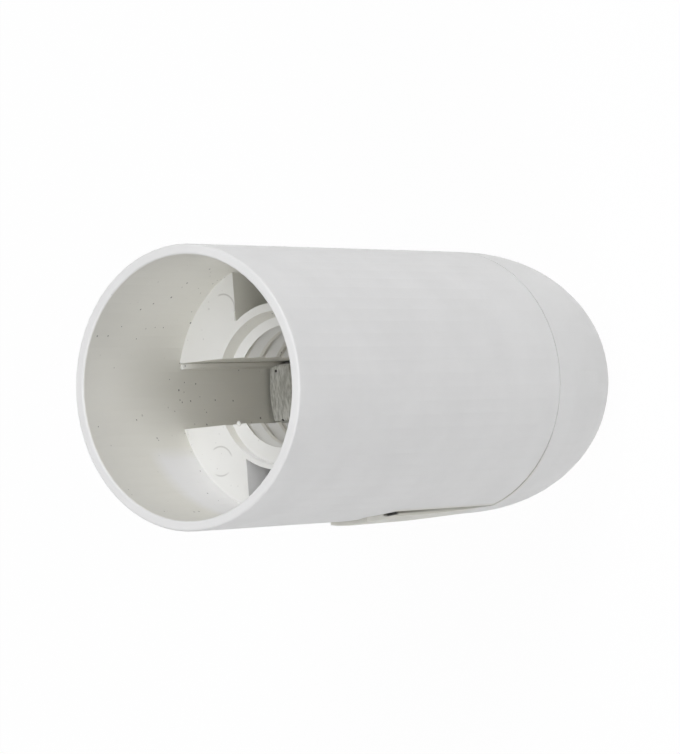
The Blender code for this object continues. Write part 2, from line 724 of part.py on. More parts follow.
def make_entry():
    base = ENTRY_RECESS
    top = ENTRY_RECESS + ENTRY_LENGTH
    flange_base = top - ENTRY_FLANGE_THICKNESS
    chamfer = (ENTRY_SLEEVE_RADIUS - ENTRY_BORE_RADIUS) / 3.0
    profile = [
        (ENTRY_BORE_RADIUS, top - chamfer),
        (ENTRY_BORE_RADIUS + chamfer, top),
        (ENTRY_FLANGE_RADIUS, top),
        (ENTRY_FLANGE_RADIUS, flange_base),
        (ENTRY_SLEEVE_RADIUS, flange_base),
        (ENTRY_SLEEVE_RADIUS, base),
        (ENTRY_BORE_RADIUS + chamfer, base),
        (ENTRY_BORE_RADIUS, base + chamfer),
    ]
    entry = turned("entry_sleeve", profile, PARTS, THREAD_STEPS)
    hole_radius = LOCKING_SCREW_RADIUS + CLEARANCE / 2.0
    cut(entry, cylinder_x("sleeve_hole", hole_radius, -MOUTH_RADIUS, 0.0, LOCKING_SCREW_HEIGHT, CUTTERS))
    return finish(entry, ZINC_STEEL)


def make_locking_screw():
    """Headless screw, backed off until its point is flush with the sleeve's bore."""
    point = -(ENTRY_BORE_RADIUS + CLEARANCE)
    tail = point - LOCKING_SCREW_LENGTH
    tip_radius = LOCKING_SCREW_RADIUS - LOCKING_SCREW_POINT
    profile = [
        (0.0, LOCKING_SCREW_LENGTH),
        (tip_radius, LOCKING_SCREW_LENGTH),
        (LOCKING_SCREW_RADIUS, LOCKING_SCREW_LENGTH - LOCKING_SCREW_POINT),
        (LOCKING_SCREW_RADIUS, 0.0),
        (0.0, 0.0),
    ]
    screw = turned("locking_screw", profile, PARTS, SMALL_STEPS)
    half = DRIVER_SLOT_WIDTH / 2.0
    reach = LOCKING_SCREW_RADIUS + CUT_MARGIN
    cut(screw, box("locking_slot", (-half, -reach, -CUT_MARGIN), (half, reach, DRIVER_SLOT_DEPTH), CUTTERS))
    finish(screw, ZINC_STEEL)
    screw.rotation_euler = (0.0, math.pi / 2.0, 0.0)
    screw.location = (tail, 0.0, LOCKING_SCREW_HEIGHT)
    return screw


# Contact block

def terminal_centre(side):
    """Place of one terminal screw's axis: side 1 is the side contact's, side -1 the centre contact's."""
    return Vector((0.0, side * TERMINAL_PLACE, 0.0))


def terminal_outline(side, grow):
    """L-shaped strap: a square under the clamp plate and an arm to the contact's rivet."""
    rivet_x = SIDE_RIVET_PLACE if side > 0 else -CENTRE_RIVET_PLACE
    toward = 1.0 if rivet_x > 0 else -1.0
    half = CLAMP_SIDE / 2.0 + grow
    arm = TERMINAL_ARM_WIDTH / 2.0 + grow
    far_y = side * (TERMINAL_PLACE + half)
    near_y = side * (TERMINAL_PLACE - half)
    return [
        (-toward * half, far_y),
        (-toward * half, near_y),
        (toward * (half - arm), near_y),
        (rivet_x - toward * arm, 0.0),
        (rivet_x - toward * arm, -side * arm),
        (rivet_x + toward * arm, -side * arm),
        (rivet_x + toward * arm, side * arm / 2.0),
        (toward * half, far_y),
    ]


def terminal_pocket(side):
    outline = terminal_outline(side, CLEARANCE)
    middle = (BLOCK_BASE - CUT_MARGIN + POCKET_TOP) / 2.0
    thickness = POCKET_TOP - BLOCK_BASE + CUT_MARGIN
    at_height = Matrix.Translation((0.0, 0.0, middle))
    return outline_solid("terminal_pocket", outline, thickness, at_height, CUTTERS)


def terminal_bore(side):
    """Stepped bore that clears the strap's boss and then the screw's shank."""
    seat_radius = TERMINAL_BOSS_RADIUS + CLEARANCE
    seat_top = TERMINAL_TOP + TERMINAL_BOSS_LENGTH + CLEARANCE
    hole_top = HEAD_TOP + TERMINAL_SCREW_GRIP + CLEARANCE
    low = BLOCK_BASE - CUT_MARGIN
    profile = [(0.0, hole_top), (SCREW_HOLE_RADIUS, hole_top), (SCREW_HOLE_RADIUS, seat_top)]
    profile += [(seat_radius, seat_top), (seat_radius, low), (0.0, low)]
    bore = turned("terminal_bore", profile, CUTTERS, SMALL_STEPS)
    bore.location = terminal_centre(side)
    return bore


def make_block():
    block = disc("contact_block", BLOCK_RADIUS, BLOCK_BASE, BLOCK_TOP, PARTS)
    key_half = SLOT_WIDTH / 2.0 - CLEARANCE
    key_radius = BLOCK_RADIUS - BLOCK_KEY_SETBACK
    key_low = BLOCK_TOP - CLEARANCE
    key_high = BLOCK_TOP + BLOCK_KEY_HEIGHT
    key_blank = disc("key_blank", key_radius, key_low, key_high, CUTTERS, shift=ADDED_SHIFT)
    key_limit = box(
        "key_limit",
        (-BLOCK_RADIUS - CUT_MARGIN, -key_half, BLOCK_BASE),
        (-BLOCK_RADIUS + BLOCK_KEY_LENGTH, key_half, MOUTH_Z),
        CUTTERS,
    )
    boolean(key_blank, key_limit, "INTERSECT")
    join(block, key_blank)

    cone_end = BLOCK_TOP - CHAMBER_STRAIGHT - CHAMBER_CONE
    chamber = turned(
        "lamp_chamber",
        [
            (0.0, BLOCK_TOP + CUT_MARGIN),
            (CHAMBER_RADIUS, BLOCK_TOP + CUT_MARGIN),
            (CHAMBER_RADIUS, BLOCK_TOP - CHAMBER_STRAIGHT),
            (CHAMBER_THROAT_RADIUS, cone_end),
            (CHAMBER_THROAT_RADIUS, CHAMBER_FLOOR_Z),
            (0.0, CHAMBER_FLOOR_Z),
        ],
        CUTTERS,
        THREAD_STEPS,
    )
    channel_half = CENTRE_STRIP_WIDTH / 2.0 + CLEARANCE
    channel_end = CENTRE_RIVET_PLACE + max(RIVET_HEAD_RADIUS, CENTRE_FOOT_OUTER) + CLEARANCE
    channel = box(
        "contact_channel",
        (-channel_end, -channel_half, CHAMBER_FLOOR_Z),
        (0.0, channel_half, BLOCK_TOP + CUT_MARGIN),
        CUTTERS,
    )
    cut(block, chamber, channel)

    half, _, _, _ = tongue_outline(POCKET_SIDE_GAP + POCKET_WALL + CLEARANCE)
    pad_relief = ring(
        "pad_relief",
        PAD_INNER_RADIUS - CLEARANCE,
        MOUTH_RADIUS,
        BLOCK_BASE - CUT_MARGIN,
        BLOCK_TOP + CUT_MARGIN,
        CUTTERS,
    )
    relief_limit = box(
        "pad_relief_limit",
        (-half, -2.0 * MOUTH_RADIUS, BLOCK_BASE - 2.0 * CUT_MARGIN),
        (half, 0.0, BLOCK_TOP + 2.0 * CUT_MARGIN),
        CUTTERS,
    )
    boolean(pad_relief, relief_limit, "INTERSECT")
    cut(block, pad_relief)

    for side in (-1.0, 1.0):
        cut(block, terminal_pocket(side), terminal_bore(side))

    for name, x in (("centre_rivet_hole", -CENTRE_RIVET_PLACE), ("side_rivet_hole", SIDE_RIVET_PLACE)):
        hole = disc(
            name, RIVET_HOLE_RADIUS, BLOCK_BASE - CUT_MARGIN, BLOCK_TOP + CUT_MARGIN, CUTTERS, SMALL_STEPS
        )
        hole.location = (x, 0.0, 0.0)
        cut(block, hole)

    # Insulating barrier between the terminals, and the guards that keep each clamp plate from turning
    join(
        block,
        box(
            "barrier",
            (-BARRIER_LENGTH / 2.0, -BARRIER_THICKNESS / 2.0, BLOCK_BASE - BARRIER_HEIGHT),
            (BARRIER_LENGTH / 2.0, BARRIER_THICKNESS / 2.0, BLOCK_BASE + TERMINAL_POCKET / 2.0),
            CUTTERS,
        ),
    )
    for side in (-1.0, 1.0):
        near = side * (TERMINAL_PLACE - CLAMP_SIDE / 2.0 - CLEARANCE - GUARD_SETBACK)
        far = near - side * GUARD_THICKNESS
        low_y, high_y = sorted((near, far))
        guard_ends = sorted((-side * CLAMP_SIDE / 2.0, 0.0))
        join(
            block,
            box(
                "guard",
                (guard_ends[0], low_y, BLOCK_BASE - BARRIER_HEIGHT),
                (guard_ends[1], high_y, BLOCK_BASE + TERMINAL_POCKET / 2.0),
                CUTTERS,
            ),
        )
    return finish(block, WHITE_BLOCK)


# Contacts, rivets and terminals

def strip(name, path, width, material):
    """Bent strip: a side outline of the given path and thickness, extruded across its width."""
    half = STRIP_THICKNESS / 2.0
    count = len(path)
    left = []
    right = []
    for index, (x, z) in enumerate(path):
        before = path[max(index - 1, 0)]
        after = path[min(index + 1, count - 1)]
        first = Vector((x - before[0], z - before[1]))
        second = Vector((after[0] - x, after[1] - z))
        first = first.normalized() if first.length > 0.0 else second.normalized()
        second = second.normalized() if second.length > 0.0 else first
        along = (first + second).normalized()
        reach = half / max(along.dot(second), 0.5)
        normal = Vector((-along.y, along.x)) * reach
        left.append((x + normal.x, z + normal.y))
        right.append((x - normal.x, z - normal.y))
    outline = left + list(reversed(right))
    standing = Matrix.Rotation(math.pi / 2.0, 4, "X")
    return outline_solid(name, outline, width, standing, PARTS)


def smooth_path(points, per_span):
    """Catmull-Rom curve through the points, so that a strip bends without kinks."""
    padded = [points[0]] + list(points) + [points[-1]]
    path = []
    for index in range(1, len(padded) - 2):
        p0, p1, p2, p3 = (Vector(point) for point in padded[index - 1:index + 3])
        for step in range(per_span):
            t = step / per_span
            point = 0.5 * (2.0 * p1 + (p2 - p0) * t + (2.0 * p0 - 5.0 * p1 + 4.0 * p2 - p3) * t * t)
            point += 0.5 * (3.0 * p1 - p0 - 3.0 * p2 + p3) * t * t * t
            path.append((point.x, point.y))
    path.append(tuple(points[-1]))
    return path


def rivet_hole(obj, place):
    hole = disc(
        obj.name + "_hole", RIVET_HOLE_RADIUS, -CUT_MARGIN, CUT_MARGIN, CUTTERS, SMALL_STEPS
    )
    hole.location = place
    cut(obj, hole)


def centre_axis():
    return Vector((-CENTRE_RIVET_PLACE, 0.0, CHAMBER_FLOOR_Z + CLEARANCE + STRIP_THICKNESS / 2.0))


def side_axis():
    return Vector((SIDE_RIVET_PLACE, 0.0, BLOCK_TOP + CLEARANCE + STRIP_THICKNESS / 2.0))


def make_centre_contact():
    """Leaf that rises from its rivet to a rounded tip on the axis, under the lamp's end contact."""
    axis = centre_axis()
    foot_end = axis.x + CENTRE_FOOT_INNER
    curl = smooth_path(
        [
            (foot_end, axis.z),
            (foot_end / 2.0, axis.z + CENTRE_MIDDLE_HEIGHT),
            (0.0, axis.z + CENTRE_TIP_HEIGHT),
            (CENTRE_TIP_OVERRUN, axis.z + CENTRE_END_HEIGHT),
        ],
        4,
    )
    path = [(axis.x - CENTRE_FOOT_OUTER, axis.z)] + curl
    leaf = strip("centre_contact", path, CENTRE_STRIP_WIDTH, BRONZE)
    rivet_hole(leaf, axis)
    finish(leaf, BRONZE)
    move_origin(leaf, axis)
    return leaf


def make_side_contact():
    """Finger that stands in the +X slot and bears on the lamp's screw shell."""
    axis = side_axis()
    outer = axis.x + SIDE_FOOT_OUTER
    curl = smooth_path(
        [
            (outer, axis.z),
            (outer + STRIP_THICKNESS / 2.0, axis.z + SIDE_BEND_HEIGHT),
            (outer - STRIP_THICKNESS, axis.z + SIDE_STRAIGHT_HEIGHT),
            (SIDE_NOSE_RADIUS + STRIP_THICKNESS * 2.0, axis.z + SIDE_LEAN_HEIGHT),
            (SIDE_NOSE_RADIUS + STRIP_THICKNESS / 2.0, axis.z + SIDE_NOSE_HEIGHT),
            (SIDE_NOSE_RADIUS + STRIP_THICKNESS * 2.5, axis.z + SIDE_TIP_HEIGHT),
        ],
        4,
    )
    path = [(axis.x - SIDE_FOOT_INNER, axis.z)] + curl
    finger = strip("side_contact", path, SIDE_STRIP_WIDTH, BRONZE)
    rivet_hole(finger, axis)
    finish(finger, BRONZE)
    move_origin(finger, axis)
    return finger


def make_rivet(name, axis):
    """Rivet with two low round heads, from the contact's foot to the terminal strap."""
    front = axis.z + STRIP_THICKNESS / 2.0 + CLEARANCE
    rear = TERMINAL_BASE - CLEARANCE
    crown = RIVET_HEAD_RADIUS - RIVET_HEAD_ROUND
    round_height = RIVET_HEAD_HEIGHT - RIVET_HEAD_LAND
    profile = [
        (0.0, front + RIVET_HEAD_HEIGHT),
        (crown, front + round_height),
        (RIVET_HEAD_RADIUS, front + RIVET_HEAD_LAND),
        (RIVET_HEAD_RADIUS, front),
        (RIVET_RADIUS, front),
        (RIVET_RADIUS, rear),
        (RIVET_HEAD_RADIUS, rear),
        (RIVET_HEAD_RADIUS, rear - RIVET_HEAD_LAND),
        (crown, rear - round_height),
        (0.0, rear - RIVET_HEAD_HEIGHT),
    ]
    rivet = turned(name, profile, PARTS, SMALL_STEPS)
    rivet.location = (axis.x, 0.0, 0.0)
    return finish(rivet, BRASS)


def make_terminal(name, side, axis):
    """Brass strap in the block's rear pocket, with a drawn and tapped boss for the terminal screw."""
    middle = (TERMINAL_TOP + TERMINAL_BASE) / 2.0
    at_height = Matrix.Translation((0.0, 0.0, middle))
    strap = outline_solid(name, terminal_outline(side, 0.0), TERMINAL_THICKNESS, at_height, PARTS)
    place = terminal_centre(side)
    boss_end = TERMINAL_TOP + TERMINAL_BOSS_LENGTH
    boss = disc(name + "_boss", TERMINAL_BOSS_RADIUS, middle, boss_end, CUTTERS, SMALL_STEPS, ADDED_SHIFT)
    boss.location = place
    join(strap, boss)
    tapping = disc(
        name + "_tapping",
        SCREW_HOLE_RADIUS,
        TERMINAL_BASE - CUT_MARGIN,
        boss_end + CUT_MARGIN,
        CUTTERS,
        SMALL_STEPS,
    )
    tapping.location = place
    rivet_clearance = disc(
        name + "_rivet_hole",
        RIVET_HOLE_RADIUS,
        TERMINAL_BASE - CUT_MARGIN,
        TERMINAL_TOP + CUT_MARGIN,
        CUTTERS,
        SMALL_STEPS,
    )
    rivet_clearance.location = (axis.x, 0.0, 0.0)
    cut(strap, tapping, rivet_clearance)
    return finish(strap, BRASS)


def make_clamp(name, side):
    """Square plate under the screw's head, which presses the wire on the strap."""
    half = CLAMP_SIDE / 2.0
    place = terminal_centre(side)
    plate = box(name, (-half, -half, CLAMP_BASE), (half, half, CLAMP_TOP), PARTS)
    hole = disc(
        name + "_hole",
        SCREW_HOLE_RADIUS,
        CLAMP_BASE - CUT_MARGIN,
        CLAMP_TOP + CUT_MARGIN,
        CUTTERS,
        SMALL_STEPS,
    )
    cut(plate, hole)
    finish(plate, ZINC_STEEL)
    plate.location = place
    return plate


def make_terminal_screw(name, side):
    """Slotted cheese-head screw, head towards the cap's end."""
    base = HEAD_TOP - TERMINAL_HEAD_HEIGHT
    tip = HEAD_TOP + TERMINAL_SCREW_GRIP
    profile = [
        (0.0, tip),
        (TERMINAL_SCREW_RADIUS - TERMINAL_SCREW_POINT, tip),
        (TERMINAL_SCREW_RADIUS, tip - TERMINAL_SCREW_POINT),
        (TERMINAL_SCREW_RADIUS, HEAD_TOP),
        (TERMINAL_HEAD_RADIUS, HEAD_TOP),
        (TERMINAL_HEAD_RADIUS, base + TERMINAL_HEAD_CHAMFER),
        (TERMINAL_HEAD_RADIUS - TERMINAL_HEAD_CHAMFER, base),
        (0.0, base),
    ]
    screw = turned(name, profile, PARTS, SMALL_STEPS)
    half = DRIVER_SLOT_WIDTH / 2.0
    reach = TERMINAL_HEAD_RADIUS + CUT_MARGIN
    slot_end = base + DRIVER_SLOT_DEPTH
    cut(screw, box(name + "_slot", (-reach, -half, base - CUT_MARGIN), (reach, half, slot_end), CUTTERS))
    finish(screw, ZINC_STEEL)
    screw.location = terminal_centre(side)
    return screw


def make_contacts():
    make_centre_contact()
    make_side_contact()
    for contact, side, axis in (("centre", -1.0, centre_axis()), ("side", 1.0, side_axis())):
        make_rivet(contact + "_rivet", axis)
        make_terminal(contact + "_terminal", side, axis)
        make_clamp(contact + "_clamp", side)
        make_terminal_screw(contact + "_terminal_screw", side)


make_casing()
make_cap()
make_entry()
make_locking_screw()
make_block()
make_contacts()
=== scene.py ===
# White thermoplastic holder for a small screw lamp, seen into its mouth on a plain pale floor.
# Same frame as the solids: +Z from the cap's flat end to the mouth, tongue at -Y, slots along X.
import math

import bmesh
import bpy
from mathutils import Matrix, Vector


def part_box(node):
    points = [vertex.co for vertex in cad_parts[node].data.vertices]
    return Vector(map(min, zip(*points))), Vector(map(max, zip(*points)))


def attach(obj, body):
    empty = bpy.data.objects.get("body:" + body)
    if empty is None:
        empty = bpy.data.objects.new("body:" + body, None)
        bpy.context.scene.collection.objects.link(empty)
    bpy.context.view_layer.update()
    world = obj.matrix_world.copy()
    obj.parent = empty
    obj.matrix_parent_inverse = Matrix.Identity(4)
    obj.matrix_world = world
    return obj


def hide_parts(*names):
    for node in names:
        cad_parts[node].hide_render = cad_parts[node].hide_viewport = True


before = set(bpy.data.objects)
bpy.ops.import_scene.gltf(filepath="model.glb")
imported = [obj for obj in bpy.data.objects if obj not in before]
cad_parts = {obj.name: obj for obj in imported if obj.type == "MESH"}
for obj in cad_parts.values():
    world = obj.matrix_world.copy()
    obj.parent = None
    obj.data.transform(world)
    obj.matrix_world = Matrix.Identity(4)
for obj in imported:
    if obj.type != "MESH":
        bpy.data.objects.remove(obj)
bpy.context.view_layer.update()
mm = 0.001
print("stage 1: frame loaded,", len(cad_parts), "nodes")


# small helpers

def hexToLinear(code):
    values = []
    for start in (0, 2, 4):
        part = int(code[start:start + 2], 16) / 255.0
        values.append(part / 12.92 if part <= 0.04045 else ((part + 0.055) / 1.055) ** 2.4)
    return (*values, 1.0)


def addNode(tree, kind, settings=None, values=None, links=None):
    node = tree.nodes.new(kind)
    for name, value in (settings or {}).items():
        setattr(node, name, value)
    for socket, value in (values or {}).items():
        node.inputs[socket].default_value = value
    for socket, source in (links or {}).items():
        if source is not None:
            tree.links.new(source, node.inputs[socket])
    return node


def startMaterial(name):
    material = bpy.data.materials.new(name)
    material.use_nodes = True
    tree = material.node_tree
    tree.nodes.clear()
    return material, tree


def dress(names, material):
    for name in names:
        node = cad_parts[name]
        node.data.materials.clear()
        node.data.materials.append(material)


def newMesh(name, build):
    bm = bmesh.new()
    build(bm)
    bmesh.ops.recalc_face_normals(bm, faces=bm.faces)
    mesh = bpy.data.meshes.new(name)
    bm.to_mesh(mesh)
    bm.free()
    obj = bpy.data.objects.new(name, mesh)
    bpy.context.scene.collection.objects.link(obj)
    return obj


# camera: it looks down into the mouth and is rolled, so that the holder's axis runs across

cameraLook = {
    "place": (307.45, -22.08, 442.5),
    "forward": (-0.6022, 0.0448, -0.7971),
    "up": (0.0872, 0.9961, -0.0098),
    "lens": 241.2,
    "sensor": 36.0,
    "clip": (0.01, 20.0),  # metres
}


def makeCamera(look):
    data = bpy.data.cameras.new("photoCamera")
    data.lens = look["lens"]
    data.sensor_width = look["sensor"]
    data.clip_start, data.clip_end = look["clip"]
    camera = bpy.data.objects.new("photoCamera", data)
    bpy.context.scene.collection.objects.link(camera)
    forward = Vector(look["forward"]).normalized()
    right = forward.cross(Vector(look["up"])).normalized()
    up = right.cross(forward)
    turn = Matrix((right, up, -forward)).transposed().to_4x4()
    place = [part * mm for part in look["place"]]
    camera.matrix_world = Matrix.Translation(place) @ turn
    bpy.context.scene.camera = camera


makeCamera(cameraLook)
print("stage 2: camera placed")


# moulded thermoplastic

plasticLook = {
    "casing": {
        # polybutylene terephthalate, injection moulded: a satin, faintly warm white
        "name": "moulded_white_PBT",
        "light": "E7E7E2",
        "shade": "E4E4DF",
        "speck": "5E5B52",  # dust
        "speckAmount": 0.8,
        "speckMm": 0.6,  # one speck at most in a cell of this size
        "speckReach": (0.18, 0.105),  # a speck's edge and core, as shares of the cell
        "speckShare": (0.80, 0.88),  # cells below the first value stay clean
        "roughness": (0.56, 0.66),
        "ior": 1.52,
        "cloudMm": 5.0,
        "peelMm": 0.9,
        "grainMm": 0.16,  # spark-eroded grain is nearer 0.03: drawn coarser, so that it shows
        "grainStretch": (1.0, 1.0, 1.0),
        "bumpMm": 0.010,
    },
    "cap": {
        # the same plastic from its own mould: the same satin white, a little more even
        "name": "moulded_white_PBT_cap",
        "light": "E7E7E2",
        "shade": "E4E4DF",
        "speck": "9A9892",
        "speckAmount": 0.0,
        "speckMm": 3.4,
        "speckReach": (0.12, 0.07),
        "speckShare": (0.5, 0.6),
        "roughness": (0.56, 0.66),
        "ior": 1.52,
        "cloudMm": 6.0,
        "peelMm": 0.9,
        "grainMm": 0.16,
        "grainStretch": (1.0, 1.0, 1.0),
        "bumpMm": 0.010,
    },
    "block": {
        # glass-filled polyamide, injection moulded: greyer than the casing, faintly clouded
        "name": "moulded_white_PA66_block",
        "light": "EDEDE7",
        "shade": "DEDED6",
        "speck": "4A4842",
        "speckAmount": 0.7,
        "speckMm": 1.3,
        "speckReach": (0.12, 0.07),
        "speckShare": (0.45, 0.55),
        "roughness": (0.50, 0.62),
        "ior": 1.53,
        "cloudMm": 3.0,
        "peelMm": 0.6,
        "grainMm": 0.24,
        "grainStretch": (1.0, 1.0, 1.0),
        "bumpMm": 0.02,
    },
    "key": {
        # the same polyamide on the block's key: drag lines from the mould across its face
        "name": "moulded_white_PA66_key",
        "light": "F0F0EA",
        "shade": "C4C4BB",
        "speck": "4A4842",
        "speckAmount": 0.7,
        "speckMm": 1.3,
        "speckReach": (0.12, 0.07),
        "speckShare": (0.45, 0.55),
        "roughness": (0.50, 0.62),
        "ior": 1.53,
        "cloudMm": 3.0,
        "peelMm": 0.6,
        "grainMm": 0.15,  # the lines' width; they are five times as long across the slot
        "grainStretch": (1.0, 0.20, 0.3),
        "bumpMm": 0.035,
    },
}

# marks, placed on the solids by the photograph: dirt and dust, painted shade in the joints, at the
# ejector rings and in the tongue's corner, and painted light on the inner wall
# a pair of numbers says where a mark begins and where it is full

jointLook = {
    "height": 16.35,  # the parting line
    "footRadius": 13.65,  # the casing's foot
    "spread": 0.008,  # the casing widens by this much per millimetre of height
    "pocketHalfWidth": 3.95,
    "pocketTop": 36.3,
    "slantStart": 34.2,  # the tongue's corners turn in here
    # painted shade with some dirt: the dark line in the joints, where shade falls in the gaps
    "jointShadeAndDirt": "5C5946",
    "halo": "CFCDB9",
    # painted shadow: near-black, for the opening in the tongue's corner; also the dark dots on the
    # key
    "deepShadeAndDirt": "1F1E1A",
    "frontSide": (-6.0, -12.0),  # the joints get painted shade, with some dirt, on the tongue's side only
    "upperEnd": (25.0, 32.0),  # and along the tongue, more towards its tip
}

casingMarkLook = {
    "jointRise": (0.09, 0.03),
    "jointAmount": 0.6,
    "haloRise": (0.5, 0.1),
    "haloAmount": 0.4,
    "pocketHaloWidth": (0.7, 0.1),
    "pocketHaloSide": (-12.0, -12.4),
    "pocketHaloEnd": (0.0, -1.2),
    "pocketHaloAmount": 0.45,
    "pocketDepth": (0.05, 0.15),
    "pocketSide": (-11.0, -11.2),
    "pocketEnd": (0.3, 0.2),
    "pocketAmount": 0.9,
    "pocketLowAmount": 0.5,
    "wallRadius": (13.15, 13.0),
    "wallRise": (0.6, 0.4),  # leaves out faces that look up
    "wallStart": (1.0, 2.0),
    "wallTone": "E7E6DD",
    "litPatchSide": (-5.0, -6.5),  # painted light: the wall is paler above the lower shelf, where light falls in through the mouth
    "litPatchEnd": (53.0, 51.0),
    "litPatchTone": "EDEDEB",
    "ejectorLine": (0.13, 0.0),
    "ejectorAmount": 0.55,
    "ejectorEnds": (-0.1, 0.2),
    "ejectorHeight": (45.6, 45.8),
    # painted shade: the dark line at each ejector ring's step
    "ejectorShadeTone": "96948C",
    # each is the part of a ring that lies towards one side of its centre
    "ejectors": [
        {"centre": (-6.19, 8.31, 45.85), "radius": 1.44,
         "towards": (0.71, 0.71, 0.0), "least": 0.39},
        {"centre": (-7.95, -6.90, 45.85), "radius": 1.47,
         "towards": (0.34, 0.94, 0.0), "least": 0.59},
        {"centre": (-7.95, -6.90, 45.85), "radius": 1.47,
         "towards": (0.03, -1.0, 0.0), "least": 0.84},
    ],
}

capMarkLook = {
    "haloRise": (-0.6, -0.2),
    "haloWidth": (-0.3, -0.1),
    "haloAmount": 0.4,
    "shoulderRise": (-0.20, -0.16),
    "shoulderDepth": (0.02, 0.06),
    "shoulderRadius": (12.8, 12.9),
    "shoulderAmount": 0.6,
    "sideSlant": (0.5, 0.6),  # faces that look to +X or -X
    "sideStart": (-0.1, 0.1),
    "sideEnd": (0.1, -0.1),
    "sideDepth": (-0.18, -0.08),
    "sideAmount": 0.85,
    "sideLowAmount": 0.3,
    "tongueSide": (-12.7, -13.1),
    "tongueStart": (1.0, 4.0),
    "tongueTone": "DDDCD1",
    "cornerPlace": (3.60, -13.40, 33.3),
    "cornerReach": (1.0, 0.5),
    "cornerDepth": (-0.28, -0.18),
}

keyDots = [((-11.06, 2.34, 31.75), (0.18, 0.10)), ((-10.64, -2.80, 31.75), (0.20, 0.12))]

dustLook = {
    "insideRadius": (13.1, 12.9),  # none on the outside
    "flatRise": (0.9, 0.5),
    "flatAmount": 0.25,  # little on faces that look up
    "deepRadius": (11.0, 11.4),
    "deepHeight": (47.0, 45.5),
    "deepExtra": 0.40,  # more of it on the walls below the shelves
    "sizes": (0.7, 1.8),
}

surfaceLook = {
    "toneShare": (0.35, 0.65),
    "sheenShare": (0.3, 0.7),
    "cloudDetail": 3.0,
    "grainDetail": 2.0,
    "bumpStrength": 0.35,
}


def readPlace(tree):
    place = addNode(tree, "ShaderNodeTexCoord").outputs["Object"]
    inMm = addNode(tree, "ShaderNodeVectorMath", {"operation": "SCALE"}, {"Scale": 1.0 / mm},
                   {0: place}).outputs["Vector"]
    axes = addNode(tree, "ShaderNodeSeparateXYZ", None, None, {"Vector": inMm})
    flat = addNode(tree, "ShaderNodeVectorMath", {"operation": "MULTIPLY"}, {1: (1.0, 1.0, 0.0)},
                   {0: inMm})
    radius = addNode(tree, "ShaderNodeVectorMath", {"operation": "LENGTH"}, None,
                     {0: flat.outputs["Vector"]})
    widthOff = addNode(tree, "ShaderNodeMath", {"operation": "ABSOLUTE"}, None,
                       {0: axes.outputs["X"]})
    # how far a point lies inside the casing's drafted outer surface
    spread = jointLook["spread"]
    atZero = jointLook["footRadius"] - spread * jointLook["height"]
    surface = addNode(tree, "ShaderNodeMath", {"operation": "MULTIPLY_ADD"},
                      {1: spread, 2: atZero}, {0: axes.outputs["Z"]})
    depth = addNode(tree, "ShaderNodeMath", {"operation": "SUBTRACT"}, None,
                    {0: surface.outputs["Value"], 1: radius.outputs["Value"]})
    normal = addNode(tree, "ShaderNodeNewGeometry").outputs["Normal"]
    facing = addNode(tree, "ShaderNodeSeparateXYZ", None, None, {"Vector": normal})
    slant = addNode(tree, "ShaderNodeMath", {"operation": "ABSOLUTE"}, None,
                    {0: facing.outputs["X"]})
    return {"vector": place, "mm": inMm, "y": axes.outputs["Y"], "z": axes.outputs["Z"],
            "radius": radius.outputs["Value"], "halfWidth": widthOff.outputs["Value"],
            "depth": depth.outputs["Value"], "slant": slant.outputs["Value"],
            "rise": facing.outputs["Z"]}


def limit(value, fade, base=0.0, least=0.0, most=1.0):
    # one bound of a mark: worth the least where the fade begins, the most where it is full
    return value, base + fade[0], base + fade[1], least, most


def share(tree, limits):
    # the product of all the bounds of a mark
    product = None
    for value, begins, full, least, most in limits:
        part = addNode(tree, "ShaderNodeMapRange", None,
                       {"From Min": begins, "From Max": full, "To Min": least, "To Max": most},
                       {"Value": value})
        if product is not None:
            part = addNode(tree, "ShaderNodeMath", {"operation": "MULTIPLY"}, None,
                           {0: product, 1: part.outputs["Result"]})
        product = part.outputs[0]
    return product


def layerColour(tree, colour, amount, code):
    # lays one colour over another by a share: tones, stains and dust, and painted light and shade
    # inputs 6 and 7 of the node are its two colours
    return addNode(tree, "ShaderNodeMix", {"data_type": "RGBA"}, {7: hexToLinear(code)},
                   {"Factor": amount, 6: colour}).outputs[2]


def ballMark(tree, where, centre, reach):
    apart = addNode(tree, "ShaderNodeVectorMath", {"operation": "DISTANCE"}, {1: centre},
                    {0: where["mm"]})
    return share(tree, [limit(apart.outputs["Value"], reach)])


